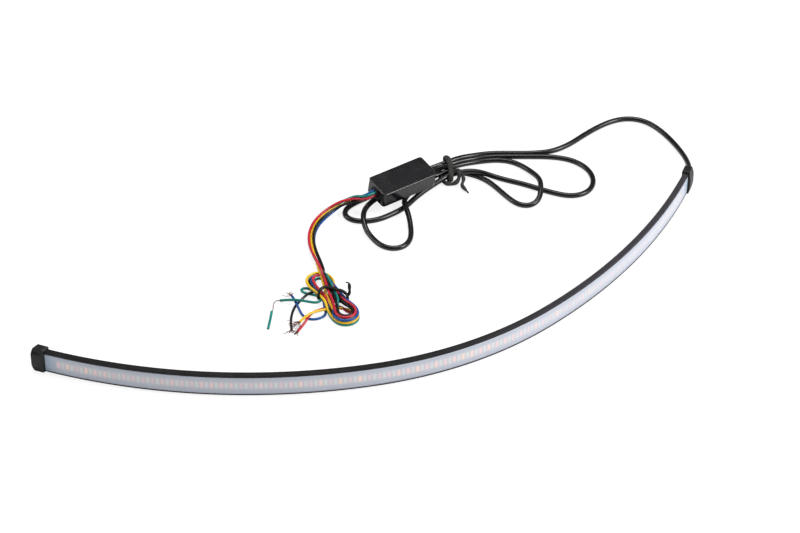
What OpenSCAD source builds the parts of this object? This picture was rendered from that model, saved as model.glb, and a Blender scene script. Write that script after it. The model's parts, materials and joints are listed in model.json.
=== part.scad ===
/* [Strip] */
// Length of the strip along its curve
strip_length = 594; // [420:1:800]
// Height of the strip, which stands on its long edge
strip_height = 18; // [14:0.5:24]
// Depth of the strip from its back to its frosted face
strip_depth = 4.2; // [3.6:0.1:6]
// Thickness of the channel behind the lamps
back_wall = 0.8; // [0.5:0.1:1.2]
// Thickness of the channel's upper side
top_wall = 0.8; // [0.6:0.1:1.5]
// Thickness of the channel's lower side
bottom_wall = 1; // [0.6:0.1:1.5]
// How far the channel's lips reach over the frosted band
lip_reach = 0.3; // [0.1:0.05:0.6]
// Depth of those lips
lip_depth = 0.8; // [0.4:0.1:1.2]

/* [Curve] */
// Distance from the left end to the foremost point of the curve
apex_at = 154; // [100:1:200]
// Radius of the curve's first stretch
first_radius = 410; // [300:5:600]
// Length of the first stretch beyond the foremost point
first_reach = 91; // [60:1:130]
// Radius of the middle stretch
second_radius = 275; // [220:5:400]
// Length of the middle stretch
second_reach = 142; // [80:1:200]
// Radius of the last stretch
third_radius = 435; // [300:5:600]

/* [Lamps] */
// Distance between neighbouring lamps
lamp_pitch = 3.57; // [3:0.01:8]
// Distance from an end of the strip to its first lamp
lamp_margin = 14; // [12:0.5:40]
// Width of a lamp along the strip
lamp_width = 1.6; // [1:0.1:2.4]
// Height of a lamp
lamp_height = 4; // [3:0.1:5]
// Thickness of a lamp
lamp_thickness = 0.8; // [0.5:0.05:0.9]
// Height of the flexible board
board_height = 10; // [9:0.5:12]
// Thickness of the flexible board
board_thickness = 0.25; // [0.15:0.05:0.4]
// Lamps served by one resistor
lamps_per_resistor = 3; // [2:1:6]

/* [Adhesive back] */
// Height of the adhesive tape
tape_height = 14; // [8:0.5:14]
// Thickness of the adhesive tape
tape_thickness = 0.4; // [0.2:0.05:0.6]
// Thickness of the film over the tape
liner_thickness = 0.15; // [0.1:0.05:0.3]

/* [End caps] */
// How far a cap reaches over the strip
cap_reach = 7; // [5:0.5:10]
// Thickness of a cap's closed end
cap_end = 3; // [2:0.5:5]
// Thickness of a cap under the strip
cap_foot = 1; // [0.6:0.1:2]
// Thickness of a cap above the strip
cap_head = 2; // [1:0.1:3]
// Thickness of a cap in front of the strip, at its edges
cap_front = 0.8; // [0.6:0.1:2]
// Thickness of a cap behind the strip
cap_back = 1; // [0.6:0.1:2]
// Bulge of a cap's front
cap_crown = 1.5; // [0.5:0.1:2.5]
// Bulge of a cap's closed end
cap_bulge = 1.4; // [0.5:0.1:2]
// Rounding of a cap's edges
cap_round = 1.1; // [0.6:0.1:1.4]

/* [Cable and wires] */
// Diameter of the cable
cable_d = 4.2; // [3.6:0.1:4.4]
// Diameter of each coloured wire
wire_d = 2; // [1.6:0.1:2]
// Thickness of the tie round the cable
cable_tie_d = 3; // [2:0.1:3.2]
// Thickness of the tie round the wires
wire_tie_d = 2; // [1.2:0.1:2.2]
// Diameter of a twist of bare copper
copper_d = 0.9; // [0.6:0.1:1.2]

/* [Control box] */
// Length of the box
box_length = 51; // [44:1:60]
// Width of the box
box_width = 23; // [21:0.5:25]
// Height of the box
box_height = 13; // [12:0.5:18]
// Wall of the box
box_wall = 1.5; // [1:0.1:2.2]
// Radius of the box's upright corners
box_corner = 4; // [3:0.5:5]
// Radius of the box's long edges
box_edge = 1.2; // [0.6:0.1:1.6]
// Thickness of the box's base
base_thickness = 1.5; // [1:0.1:2]
// Height of the rails under the circuit board
rail_height = 1.6; // [1:0.1:2.4]
// Thickness of the circuit board
circuit_thickness = 1.2; // [0.8:0.1:1.6]
// Height of the cable's and the wires' holes above the underside
outlet_height = 7; // [6.5:0.1:7.5]
// Sideways tilt of the box, which lies on the cable
box_roll = 10; // [0:1:12]
// Lengthways tilt of the box
box_pitch = 1; // [0:0.5:3]
// Direction that the box lies in
box_yaw = 36; // [30:1:40]

/* [Wire hank] */
// Height of the folded wires
hank_height = 8; // [6:0.5:10]
// Radius of the hank's round ends
hank_end = 10.5; // [8:0.5:12]
// Radius of the hank's waist, under its tie
hank_waist = 8; // [6:0.5:9]

/* [Hidden] */
$fn = 48;
fit_gap = 0.05;
slip_gap = 0.1;
big = 100;

// The curve is three arcs that run into each other, measured from the foremost point
function degrees_of(length, radius) = length / radius * 180 / PI;
first_turn = degrees_of(first_reach, first_radius);
second_turn = first_turn + degrees_of(second_reach, second_radius);
first_centre = [0, first_radius];
second_centre = first_centre + (first_radius - second_radius) * [sin(first_turn), -cos(first_turn)];
third_centre = second_centre + (second_radius - third_radius) * [sin(second_turn), -cos(second_turn)];
strip_end = strip_length - apex_at;
// Each stretch: where it starts and ends, its radius, its heading at the start, its centre
stretches = [
    [-apex_at, first_reach, first_radius, -degrees_of(apex_at, first_radius), first_centre],
    [first_reach, first_reach + second_reach, second_radius, first_turn, second_centre],
    [first_reach + second_reach, strip_end, third_radius, second_turn, third_centre]
];
function stretch_at(s) = s - apex_at < first_reach ? stretches[0]
    : s - apex_at < first_reach + second_reach ? stretches[1] : stretches[2];
function heading_at(s) = let (k = stretch_at(s)) k[3] + degrees_of(s - apex_at - k[0], k[2]);
// The point at a distance s from the left end, and out from the back by n
function strip_point(s, n) = let (k = stretch_at(s), h = heading_at(s))
    k[4] + (k[2] + n) * [sin(h), -cos(h)];

// Heights and depths in the strip's section
strip_base = cap_foot;
strip_middle = strip_base + strip_height / 2;
board_front = back_wall + fit_gap + board_thickness;
groove_depth = lamp_thickness + 0.3;
groove_half = board_height / 2 - 0.6;
lamp_count = floor((strip_length - 2 * lamp_margin) / lamp_pitch) + 1;
strip_steps = 72;
tape_start = ceil((cap_reach + 0.5) * strip_steps / strip_length) * strip_length / strip_steps;

// Where the caps end, and the frame's origin under the middle of the whole part
cap_depth = cap_back + strip_depth + cap_front + cap_crown;
cap_height = cap_foot + strip_height + cap_head;
left_heading = heading_at(0);
right_heading = heading_at(strip_length);
left_outer = strip_point(0, cap_depth - cap_back - cap_round)
    - (cap_end - cap_round) * [cos(left_heading), sin(left_heading)];
right_outer = strip_point(strip_length, cap_depth - cap_back - cap_round)
    + (cap_end - cap_round) * [cos(right_heading), sin(right_heading)];
right_back = strip_point(strip_length, cap_round - cap_back)
    + (cap_end - cap_round) * [cos(right_heading), sin(right_heading)];

// Where the box lies
box_place = [109.7, 232.7, 9.5];
function turn_x(v, a) = [v.x, v.y * cos(a) - v.z * sin(a), v.y * sin(a) + v.z * cos(a)];
function turn_y(v, a) = [v.x * cos(a) + v.z * sin(a), v.y, -v.x * sin(a) + v.z * cos(a)];
function turn_z(v, a) = [v.x * cos(a) - v.y * sin(a), v.x * sin(a) + v.y * cos(a), v.z];
function on_box(v) = box_place + turn_z(turn_y(turn_x(v, box_roll), box_pitch), box_yaw);
box_far = on_box([box_length / 2 - box_corner, box_width / 2 - box_corner, box_edge]).y + box_corner;
middle_x = (left_outer.x + right_outer.x) / 2;
middle_y = (max(box_far, right_back.y + cap_round) - strip_depth) / 2;

// Room round the cable and the wires where they leave the box and the cap
cable_bore = cable_d + 2 * slip_gap;
bundle_ring = wire_d * 0.94;
wire_bore = 2 * bundle_ring + wire_d + 4 * slip_gap;
grommet_wall = 0.9;
flange_reach = 0.7;
flange_thickness = 0.8;

// Route of the cable, from the right cap round its loops to the box
cable_z = cable_d / 2;
tie_z = cable_tie_d + slip_gap + cable_z;
function past_cap(reach) = let (end = strip_point(strip_length, strip_depth / 2))
    [end.x + reach * cos(right_heading), end.y + reach * sin(right_heading), strip_middle];
cable_route = [
    past_cap(slip_gap), past_cap(cap_end + 4),
    [334.5, 259, 8.6], [333, 271, 6.4], [330, 284, 4], [324, 300, cable_z], [314, 317, cable_z],
    [303, 330, cable_z], [292, 335, cable_z], [280, 333, cable_z], [268, 325, cable_z],
    [255, 313, cable_z], [241, 299, cable_z], [228, 291, cable_z], [212, 288.5, cable_z],
    [194, 288.5, cable_z], [178, 288, cable_z], [166, 284.5, 2.7], [157, 281, 4.1],
    [148, 276.8, tie_z], [140, 272.5, 3.9], [131, 266.5, 2.4], [119, 257.5, cable_z],
    [107, 248.5, cable_z], [95, 239, cable_z], [83, 229.5, cable_z], [74, 221, cable_z],
    [69, 213, cable_z], [70, 205.5, cable_z], [76, 201.5, cable_z], [84, 200.3, cable_z],
    [94, 202.5, cable_z], [103, 209, cable_z], [112.5, 217, cable_z], [119.8, 228, 2.5],
    [128, 237, 3.8], [137, 245, 4.3], [148, 254, tie_z], [156, 256.8, 6.2], [163, 260.4, 6.7],
    [171, 263, 5.6], [180, 260.2, 3.2], [190, 255, cable_z], [204, 248, cable_z],
    [218, 240.8, cable_z], [230, 235.2, cable_z], [241, 232, cable_z], [250, 234, cable_z],
    [256.5, 240, cable_z], [259.5, 249, cable_z], [258.5, 261, cable_z], [252, 272.5, cable_z],
    [242, 280, cable_z], [228, 283.5, cable_z], [212, 284, cable_z], [194, 284, cable_z],
    [178, 283.4, cable_z], [166, 279.9, 2.7], [157, 276.2, 4.1], [148, 272.1, tie_z],
    [141, 268, 4.2], [133.5, 262.5, 3], [121.7, 254, cable_z], [109.7, 245, cable_z],
    [98, 235.7, cable_z], [89, 226.5, 2.7], [83.5, 216, 4.2], [81, 205, 6.5],
    [80.8, 196, 6.4], [83, 187, 3.2], [88, 178.5, cable_z], [95, 172, cable_z],
    [103, 169.8, cable_z], [110, 172.8, cable_z], [114, 180, cable_z], [114.8, 190, 3],
    [113.8, 202, 5.2], [112.4, 212.5, 6.6], [111.7, 218, 6.4], [112, 222, 5.4],
    [115, 231.5, 4.3],
    [121.5, 241, cable_d], [130, 250, cable_d], [138.5, 257, 4.6], [148, 261.4, tie_z],
    [156, 261.9, 3.5], [163, 260.6, 2.3], [171, 257, cable_z], [179, 249.5, cable_z],
    [186, 239.5, cable_z], [193.5, 228.5, cable_z], [201, 222, cable_z], [209, 221.5, cable_z],
    [215, 226.5, 3.4], [217.8, 234.5, 5.6], [218.3, 241.5, 6.6], [217.3, 250, 5.4],
    [213.5, 260, 3], [207, 269, cable_z], [199, 276, cable_z], [189, 279.3, cable_z],
    [178, 278.8, cable_z], [166, 275.3, 2.7], [157, 271.4, 4.1], [148, 267.3, tie_z],
    [145.8, 265.4, 5.5], [141, 260.8, 9.8],
    on_box([box_length / 2 + 5, 0, outlet_height - 1.2]),
    on_box([box_length / 2 + 1, 0, outlet_height]),
    on_box([box_length / 2 - box_wall - 1, 0, outlet_height])
];

// Middle line of the five wires between the box and the hank
low = bundle_ring + wire_d / 2 + slip_gap;
bundle_line = [
    on_box([box_wall + 1 - box_length / 2, 0, outlet_height]),
    on_box([-box_length / 2 - 1, 0, outlet_height]),
    on_box([-box_length / 2 - 8, 0, outlet_height - 1.4]),
    [75, 217.5, 10.4], [66, 215.6, 8], [57, 211.2, 5], [49.5, 203.5, 3.4], [44.5, 194, low],
    [42, 183, low], [42, 171.5, low], [44, 160, low], [47.5, 148, low], [50.6, 135.6, low]
];
bundle_turn = 30;

// Places of the hank's two ends and of its waist
hank_upper = [48.7, 123.8];
hank_lower = [69, 84.3];
hank_middle = (hank_upper + hank_lower) / 2;
tie_heading = -4;
tie_half = (hank_waist + 1.8) / cos(27);

// Routes of the loose ends, each from the hank to where its colour stops
flat = wire_d / 2;
red_route = [[52.9, 94.6, flat], [48.6, 92, 1.4], [44.8, 88, 2.6], [41.8, 82.2, 3.3],
    [39.2, 76.8, 2], [36.4, 72.4, flat], [34, 67.6, flat]];
black_route = [[43.2, 111.6, flat], [39.4, 108.6, flat], [35, 103.4, flat], [31.4, 96.6, flat],
    [29.4, 88.2, flat], [28.8, 79.4, flat], [29.6, 70.2, flat]];
yellow_route = [[54.4, 90.8, 3], [50.8, 88.8, 4], [46.8, 86, 5], [42.2, 82.4, 5.5], [38.4, 79, 4.4],
    [35.4, 76, 3.2]];
blue_route = [[56, 86.8, flat], [50.4, 83, flat], [45.6, 81.6, flat], [40.6, 82.6, flat],
    [37, 86.8, flat], [34.4, 92.4, 2.2], [32, 98.8, 3.3], [30.2, 104.8, 2.2], [28.8, 108.8, 1.4]];
green_route = [[51.2, 98.4, 2.6], [45.4, 98.4, 3.6], [38.8, 98.6, 4.8], [32.2, 98.8, 5.6],
    [26.2, 101.6, 3.4], [20.2, 104, flat]];
strand_route = [[20, 104.1, 0.9], [17.8, 104.4, 0.6], [16, 102, 0.6], [15.2, 98, 0.6],
    [15.2, 94, 0.6], [14.6, 91.6, 0.8]];
cable_tie_tail = [[148.2, 248.6, 5.2], [152, 248.8, 6], [156, 249, 6.2], [158.6, 246, 5],
    [159, 240.5, 2.6], [162, 235.2, 1.6]];
wire_tie_tail = [[70.8, 103.2, 5], [71.4, 103.2, 9], [71.9, 103.2, 13], [71.6, 103.2, 17],
    [69.4, 103, 19]];
offcut_ends = [[14.4, 91, flat], [12.4, 71, flat]];
offcut_length = norm(offcut_ends[1] - offcut_ends[0]);

// One ring of a tube, square to the line between its neighbours, turned to suit the hint
function unit(v) = v / norm(v);
function ring(before, here, after, d, sides, hint) =
    let (line = unit(after - before), side = unit(cross(hint, line)), up = cross(line, side))
    [for (k = [0:sides - 1]) here + d / 2 * (cos(360 * k / sides) * side + sin(360 * k / sides) * up)];

// A tube through the route's points; a closed one joins its last ring to its first
module tube(route, d, sides, hint = [0, 0, 1], closed = false) {
    rings = len(route);
    total = rings * sides;
    points = [for (i = [0:rings - 1])
        let (before = closed ? (i + rings - 1) % rings : max(i - 1, 0))
        let (after = closed ? (i + 1) % rings : min(i + 1, rings - 1))
        each ring(route[before], route[i], route[after], d, sides, hint)];
    walls = [for (i = [0:rings - (closed ? 1 : 2)], k = [0:sides - 1])
        let (a = i * sides + k, b = i * sides + (k + 1) % sides)
        each [[a, (b + sides) % total, b], [a, (a + sides) % total, (b + sides) % total]]];
    first = [for (k = [0:sides - 1]) k];
    last = [for (k = [sides - 1:-1:0]) total - sides + k];
    polyhedron(points, closed ? walls : concat([first], walls, [last]));
}

// The whole part stands with its origin under its middle
module in_frame() {
    translate([-middle_x, -middle_y, 0]) children();
}

// Carries a section, a list of depths and heights, along the strip from one distance to another
module along(from, to, section) {
    step = strip_length / strip_steps;
    inner = [for (i = [0:strip_steps])
        if (i * step > from + step / 4 && i * step < to - step / 4) i * step];
    stations = concat([from], inner, [to]);
    corners = len(section);
    total = corners * len(stations);
    points = [for (s = stations, corner = section)
        let (place = strip_point(s, corner[0]))
        [place.x, place.y, strip_base + corner[1]]];
    walls = [for (i = [0:len(stations) - 2], k = [0:corners - 1])
        let (a = i * corners + k, b = i * corners + (k + 1) % corners)
        [a, a + corners, b + corners, b]];
    first = [for (k = [0:corners - 1]) k];
    last = [for (k = [corners - 1:-1:0]) total - corners + k];
    polyhedron(points, concat([first], walls, [last]));
}

function rectangle(depth, height, length, width) =
    [[depth, height], [depth + length, height],
    [depth + length, height + width], [depth, height + width]];

// A rectangle with round corners, from the origin
module soft_rectangle(length, width, radius) {
    translate([radius, 0]) square([length - 2 * radius, width]);
    translate([0, radius]) square([length, width - 2 * radius]);
    for (x = [radius, length - radius], y = [radius, width - radius]) translate([x, y]) circle(radius);
}

// A rectangle whose right side bulges by the given amount
module bulged_rectangle(length, width, radius, bulge) {
    bow = (width * width / 4 + bulge * bulge) / (2 * bulge);
    intersection() {
        soft_rectangle(length, width, radius);
        translate([length - bow, width / 2]) circle(bow, $fn = 180);
    }
}

// The channel's section: its outside, then its inside with the two lips
function channel_section() = let (
        lip_back = strip_depth - lip_depth,
        low_lip = bottom_wall + lip_reach,
        high_wall = strip_height - top_wall,
        high_lip = high_wall - lip_reach
    )
    [[0, 0], [strip_depth, 0], [strip_depth, low_lip], [lip_back, low_lip], [lip_back, bottom_wall],
    [back_wall, bottom_wall], [back_wall, high_wall], [lip_back, high_wall], [lip_back, high_lip],
    [strip_depth, high_lip], [strip_depth, strip_height], [0, strip_height]];

module channel() {
    color("#2c2b2e") in_frame() along(0, strip_length, channel_section());
}

// The diffuser's section: a step at each lip, a groove over the lamps, and beside it two feet
// that lean off the board towards their outer edges
function diffuser_section() = let (
        back = board_front + fit_gap,
        groove_front = board_front + groove_depth,
        lip_back = strip_depth - lip_depth - fit_gap,
        low = bottom_wall + fit_gap,
        low_lip = low + lip_reach,
        high = strip_height - top_wall - fit_gap,
        high_lip = high - lip_reach,
        groove_low = strip_height / 2 - groove_half,
        groove_high = strip_height / 2 + groove_half
    )
    [[back + fit_gap, low], [lip_back, low], [lip_back, low_lip], [strip_depth, low_lip], [strip_depth, high_lip],
    [lip_back, high_lip], [lip_back, high], [back + fit_gap, high], [back, groove_high],
    [groove_front, groove_high], [groove_front, groove_low], [back, groove_low]];

module diffuser() {
    color("#d5d3db") in_frame() along(fit_gap, strip_length - fit_gap, diffuser_section());
}

module flex_board() {
    color("#e8e6e0") in_frame() along(slip_gap, strip_length - slip_gap,
        rectangle(back_wall + fit_gap, (strip_height - board_height) / 2, board_thickness, board_height));
}

// A small block on the board's front, centred at a distance s along the strip
module on_board(s, length, height, thickness, raise) {
    foot = strip_point(s, board_front);
    translate([foot.x, foot.y, strip_middle + raise - height / 2])
        rotate(heading_at(s))
            translate([-length / 2, -thickness, 0]) cube([length, thickness, height]);
}

module lamps(first) {
    for (i = [first:2:lamp_count - 1])
        on_board(lamp_margin + i * lamp_pitch, lamp_width, lamp_height, lamp_thickness, 0);
}

module red_lamps() {
    color("#e3a9a4") in_frame() lamps(0);
}

module amber_lamps() {
    color("#e9dcae") in_frame() lamps(1);
}

module chip_resistors() {
    resistor_width = 0.8;
    resistor_height = 1.4;
    color("#1d1d1f") in_frame()
        for (i = [lamps_per_resistor:lamps_per_resistor:lamp_count - 1])
            on_board(lamp_margin + (i - 0.5) * lamp_pitch, resistor_width, resistor_height, 0.4,
                lamp_height / 2 + resistor_height / 2 + 0.2);
}

module adhesive_tape() {
    color("#8d8f93") in_frame() along(tape_start, strip_length - tape_start,
        rectangle(-tape_thickness, (strip_height - tape_height) / 2, tape_thickness, tape_height));
}

module tape_liner() {
    color("#b8433c") in_frame() along(tape_start, strip_length - tape_start,
        rectangle(-tape_thickness - liner_thickness, (strip_height - tape_height) / 2,
            liner_thickness, tape_height));
}

// A cap whose closed end points along +X, with the strip's depth along +Y
module end_cap() {
    cap_length = cap_reach + cap_end;
    difference() {
        translate([-cap_reach, -cap_back, 0]) intersection() {
            linear_extrude(cap_height) soft_rectangle(cap_length, cap_depth, cap_round);
            rotate([90, 0, 90]) linear_extrude(cap_length)
                bulged_rectangle(cap_depth, cap_height, cap_round, cap_crown);
            translate([0, cap_depth, 0]) rotate([90, 0, 0]) linear_extrude(cap_depth)
                bulged_rectangle(cap_length, cap_height, 2 * cap_round, cap_bulge);
        }
        translate([-big, -slip_gap, cap_foot - slip_gap])
            cube([big + slip_gap, strip_depth + 2 * slip_gap, strip_height + 2 * slip_gap]);
    }
}

module at_end(s, turn) {
    place = strip_point(s, 0);
    translate([place.x, place.y, 0]) rotate(heading_at(s) + turn) children();
}

module left_end_cap() {
    color("#242326") in_frame() at_end(0, 180) end_cap();
}

module right_end_cap() {
    color("#242326") in_frame() at_end(strip_length, 0) mirror([0, 1, 0]) difference() {
        end_cap();
        translate([-slip_gap, strip_depth / 2, strip_middle]) rotate([0, 90, 0])
            cylinder(d = cable_bore + 2 * grommet_wall + 2 * fit_gap, h = big);
    }
}

// A rubber sleeve along +X that starts at the origin and ends in a flange
module grommet(bore, length) {
    rotate([0, 90, 0]) difference() {
        union() {
            cylinder(d = bore + 2 * grommet_wall, h = length);
            translate([0, 0, length])
                cylinder(d = bore + 2 * grommet_wall + 2 * flange_reach, h = flange_thickness);
        }
        translate([0, 0, -big]) cylinder(d = bore, h = 2 * big);
    }
}

module cap_grommet() {
    color("#1b1b1d") in_frame() at_end(strip_length, 0)
        translate([slip_gap, -strip_depth / 2, strip_middle]) grommet(cable_bore, cap_end);
}

module light_cable() {
    color("#19191b") in_frame() tube(cable_route, cable_d, 10);
}

// A loop of round wire in the plane X = 0, whose inside is two half widths wide
module wire_loop(half_width, height, d, bend) {
    reach = half_width + d / 2 - bend;
    rise = (height + d) / 2;
    route = [for (corner = [0:3], a = [0:45:90])
        let (turn = corner * 90 + a - 90, side = corner < 2 ? 1 : -1)
        let (lift = corner % 3 == 0 ? -1 : 1)
        [0, side * reach + bend * cos(turn), d / 2 + rise + lift * (rise - bend) + bend * sin(turn)]];
    tube(route, d, 10, [1, 0, 0], true);
}

module cable_tie() {
    loop_middle = [148, 265, 0];
    loop_half = 15.2;
    loop_height = cable_d + 3 * slip_gap;
    loop_bend = (loop_height + cable_tie_d) / 2 - 2 * slip_gap;
    color("#3c3c3c") in_frame() {
        translate(loop_middle) wire_loop(loop_half, loop_height, cable_tie_d, loop_bend);
        tube(cable_tie_tail, cable_tie_d * 0.8, 8);
    }
}

module at_box() {
    translate(box_place) rotate([box_roll, box_pitch, box_yaw]) children();
}

// A block with round upright corners and softened long edges, centred over the origin
module soft_block(length, width, height, corner, edge) {
    intersection() {
        translate([-length / 2, -width / 2, 0]) linear_extrude(height) soft_rectangle(length, width, corner);
        translate([-length / 2, width / 2, 0]) rotate([90, 0, 0]) linear_extrude(width)
            soft_rectangle(length, height, edge);
        translate([-length / 2, -width / 2, 0]) rotate([90, 0, 90]) linear_extrude(length)
            soft_rectangle(width, height, edge);
    }
}

inner_length = box_length - 2 * box_wall;
inner_width = box_width - 2 * box_wall;
inner_corner = box_corner - box_wall / 2;

module box_shell() {
    color("#1d1c20") in_frame() at_box() difference() {
        soft_block(box_length, box_width, box_height, box_corner, box_edge);
        translate([-inner_length / 2, -inner_width / 2, -big]) linear_extrude(big + box_height - box_wall)
            soft_rectangle(inner_length, inner_width, inner_corner);
        translate([0, 0, outlet_height]) rotate([0, 90, 0])
            cylinder(d = cable_bore + 2 * grommet_wall + 2 * fit_gap, h = big);
        translate([0, 0, outlet_height]) rotate([0, -90, 0])
            cylinder(d = wire_bore + 2 * grommet_wall + 2 * fit_gap, h = big);
    }
}

board_length = inner_length - 5;
board_width = inner_width - 1.4;
circuit_base = base_thickness + rail_height;
circuit_top = circuit_base + circuit_thickness;

module box_base() {
    rail_width = 2;
    color("#232226") in_frame() at_box() {
        translate([-inner_length / 2 + slip_gap, -inner_width / 2 + slip_gap, 0]) linear_extrude(base_thickness)
            soft_rectangle(inner_length - 2 * slip_gap, inner_width - 2 * slip_gap, inner_corner);
        for (side = [-1, 1])
            translate([-board_length / 2, side * (board_width - rail_width) / 2 - rail_width / 2, 0])
                cube([board_length, rail_width, circuit_base]);
    }
}

module circuit_board() {
    color("#2f6b45") in_frame() at_box()
        translate([-board_length / 2, -board_width / 2, circuit_base + fit_gap])
            cube([board_length, board_width, circuit_thickness - fit_gap]);
}

// A small block on the circuit board, centred at x and y
module on_circuit(x, y, length, width, height) {
    translate([x - length / 2, y - width / 2, circuit_top + fit_gap]) cube([length, width, height]);
}

module control_chip() {
    color("#1c1c1e") in_frame() at_box() on_circuit(2, 0, 5, 4, 1.5);
}

module power_transistors() {
    color("#28282a") in_frame() at_box()
        for (i = [-1:1]) on_circuit(-10, i * 5, 4.4, 3.4, 1.6);
}

module voltage_regulator() {
    regulator_size = [5, 4.6, 1.7];
    color("#303033") in_frame() at_box()
        on_circuit(10, 4.5, regulator_size.x, regulator_size.y, regulator_size.z);
}

module capacitor() {
    capacitor_d = 5;
    capacitor_height = 4.5;
    color("#9a9ca1") in_frame() at_box() translate([11, -4.4, circuit_top + fit_gap])
        cylinder(d = capacitor_d, h = capacitor_height);
}

module cable_grommet() {
    color("#1b1b1d") in_frame() at_box()
        translate([box_length / 2 - box_wall, 0, outlet_height]) grommet(cable_bore, box_wall);
}

module wire_grommet() {
    color("#1b1b1d") in_frame() at_box()
        translate([box_wall - box_length / 2, 0, outlet_height]) rotate(180) grommet(wire_bore, box_wall);
}

// One of the five wires, which turn slowly about their middle line
module bundle_wire(number) {
    last = len(bundle_line) - 1;
    route = [for (i = [0:last])
        let (
            line = unit(bundle_line[min(i + 1, last)] - bundle_line[max(i - 1, 0)]),
            side = unit(cross([0, 0, 1], line)),
            up = cross(line, side),
            a = number * 72 + i * bundle_turn
        )
        bundle_line[i] + bundle_ring * (cos(a) * side + sin(a) * up)];
    in_frame() tube(route, wire_d, 8);
}

module red_wire() {
    color("#c8283c") bundle_wire(0);
}

module blue_wire() {
    color("#14509f") bundle_wire(1);
}

module yellow_wire() {
    color("#efc832") bundle_wire(2);
}

module green_wire() {
    color("#1e7e79") bundle_wire(3);
}

module black_wire() {
    color("#161618") bundle_wire(4);
}

module hank_half(end) {
    hull() {
        translate(end) circle(hank_end, $fn = 40);
        translate(hank_middle) circle(hank_waist, $fn = 32);
    }
}

module wire_hank() {
    groove = wire_tie_d + 2 * slip_gap;
    color("#24467f") in_frame() difference() {
        linear_extrude(hank_height) {
            hank_half(hank_upper);
            hank_half(hank_lower);
        }
        translate([hank_middle.x, hank_middle.y, 0]) rotate(tie_heading)
            cube([big, groove, 2 * groove], center = true);
    }
}

module wire_tie() {
    loop_height = hank_height - wire_tie_d + slip_gap;
    color("#2b2623") in_frame() {
        translate([hank_middle.x, hank_middle.y, 0]) rotate(tie_heading + 90)
            wire_loop(tie_half, loop_height, wire_tie_d, wire_tie_d * 0.8);
        tube(wire_tie_tail, wire_tie_d * 0.8, 8, [0, 1, 0]);
    }
}

module red_tail() {
    color("#c8283c") in_frame() tube(red_route, wire_d, 8);
}

module black_tail() {
    color("#161618") in_frame() tube(black_route, wire_d, 8);
}

module yellow_tail() {
    color("#efc832") in_frame() tube(yellow_route, wire_d, 8);
}

module blue_tail() {
    color("#14509f") in_frame() tube(blue_route, wire_d, 8);
}

module green_tail() {
    color("#1e7e79") in_frame() tube(green_route, wire_d, 8);
}

// A twist of bare copper that carries on past the end of a route
module copper_end(route, length) {
    last = len(route) - 1;
    reach = unit(route[last] - route[last - 1]);
    start = route[last] + fit_gap * reach;
    tube([start, start + length / 2 * reach, start + length * [reach.x, reach.y, reach.z * 0.6]], copper_d, 8);
}

module copper_ends() {
    color("#9a5a3c") in_frame() {
        copper_end(red_route, 3);
        copper_end(black_route, 2.5);
        copper_end(yellow_route, 4);
        copper_end(blue_route, 3);
    }
}

module bare_strand() {
    color("#9a5a3c") in_frame() tube(strand_route, copper_d * 0.7, 8);
}

module green_offcut() {
    lean = offcut_ends[1] - offcut_ends[0];
    color("#1e7e79") in_frame() translate(offcut_ends[0]) rotate([0, 90, atan2(lean.y, lean.x)])
        cylinder(d = wire_d, h = offcut_length, $fn = 24);
}

channel();
diffuser();
flex_board();
red_lamps();
amber_lamps();
chip_resistors();
adhesive_tape();
tape_liner();
left_end_cap();
right_end_cap();
cap_grommet();
light_cable();
cable_tie();
box_shell();
box_base();
circuit_board();
control_chip();
power_transistors();
voltage_regulator();
capacitor();
cable_grommet();
wire_grommet();
red_wire();
black_wire();
yellow_wire();
blue_wire();
green_wire();
wire_hank();
wire_tie();
red_tail();
black_tail();
yellow_tail();
blue_tail();
green_tail();
copper_ends();
bare_strand();
green_offcut();
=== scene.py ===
import json
import math
import bmesh
import bpy
import numpy as np
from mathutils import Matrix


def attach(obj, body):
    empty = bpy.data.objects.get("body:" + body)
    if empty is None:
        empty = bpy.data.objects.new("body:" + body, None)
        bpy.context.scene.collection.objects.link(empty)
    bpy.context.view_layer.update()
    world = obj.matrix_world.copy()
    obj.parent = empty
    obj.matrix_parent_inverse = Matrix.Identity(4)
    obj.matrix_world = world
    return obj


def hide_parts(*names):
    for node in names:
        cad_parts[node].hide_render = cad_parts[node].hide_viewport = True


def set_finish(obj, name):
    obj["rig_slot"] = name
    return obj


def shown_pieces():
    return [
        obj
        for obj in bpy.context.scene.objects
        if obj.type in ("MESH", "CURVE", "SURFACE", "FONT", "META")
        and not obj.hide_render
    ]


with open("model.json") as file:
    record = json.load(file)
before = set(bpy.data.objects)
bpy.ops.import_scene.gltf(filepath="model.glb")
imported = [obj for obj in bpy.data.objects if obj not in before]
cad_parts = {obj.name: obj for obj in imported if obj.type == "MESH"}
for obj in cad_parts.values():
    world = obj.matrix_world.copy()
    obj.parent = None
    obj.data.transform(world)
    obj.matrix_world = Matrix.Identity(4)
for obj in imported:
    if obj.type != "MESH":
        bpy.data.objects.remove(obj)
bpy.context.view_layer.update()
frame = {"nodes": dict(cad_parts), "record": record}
scene = bpy.context.scene
print("frame loaded")

# The photograph's view, in metres and degrees
view = dict(
    lens=135.0, sensor=36.0, clip=(0.05, 20),
    elevation=38.0,                # above the floor
    distance=2.255,                # from the floor point that it looks at
    lookAt=(0.01828, 0.02062, 0.0),
)


def makeCamera(v):
    data = bpy.data.cameras.new("photoCamera")
    data.lens, data.sensor_width = v["lens"], v["sensor"]
    data.clip_start, data.clip_end = v["clip"]
    camera = bpy.data.objects.new("photoCamera", data)
    scene.collection.objects.link(camera)
    tilt = math.radians(v["elevation"])
    x, y, z = v["lookAt"]
    camera.location = (x, y - v["distance"] * math.cos(tilt), z + v["distance"] * math.sin(tilt))
    camera.rotation_euler = (math.pi / 2 - tilt, 0, 0)
    scene.camera = camera


makeCamera(view)

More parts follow.
